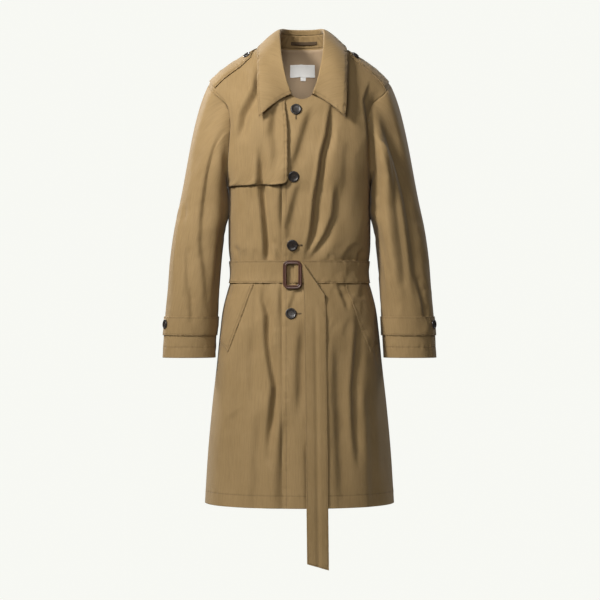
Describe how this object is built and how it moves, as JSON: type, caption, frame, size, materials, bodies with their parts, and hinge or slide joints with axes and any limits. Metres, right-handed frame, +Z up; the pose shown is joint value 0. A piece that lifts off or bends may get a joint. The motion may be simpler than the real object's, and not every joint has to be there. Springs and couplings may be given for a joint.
{
  "type": "trench coat",
  "caption": "Knee-length belted trench coat of khaki cotton gabardine, filled out but unworn, with storm flap, epaulettes, cuff straps and leather-covered buckle.",
  "frame": {"origin": "in the neck, level with the tops of the shoulders, where a wearer or a bust carries the coat", "axes": "+Z up, -Y out of the coat's front, +X towards the wearer's left"},
  "size_m": [0.6544, 0.3412, 1.2831],
  "materials": {
    "gabardine": "matt twill",
    "lining": "matt twill",
    "horn": "polished",
    "leather": "soft sheen",
    "label": "woven",
    "tape": "woven"
  },
  "bodies": {
    "root": {"front_right": "gabardine", "front_left": "gabardine", "back": "gabardine", "sleeve_right": "gabardine", "sleeve_left": "gabardine", "storm_flap": "gabardine", "belt": "gabardine", "belt_tail": "gabardine", "collar_stand": "gabardine", "collar_fall": "gabardine", "epaulette_right": "gabardine", "epaulette_left": "gabardine", "cuff_strap_right": "gabardine", "cuff_strap_left": "gabardine", "pocket_welt_right": "gabardine", "pocket_welt_left": "gabardine", "front_button_1": "horn", "front_button_2": "horn", "front_button_3": "horn", "front_button_4": "horn", "epaulette_button_right": "horn", "epaulette_button_left": "horn", "cuff_button_right": "horn", "cuff_button_left": "horn", "buckle": "leather", "back_neck_lining": "lining", "label": "label", "label_tab": "label", "hanger_loop": "tape"}
  },
  "joints": []
}
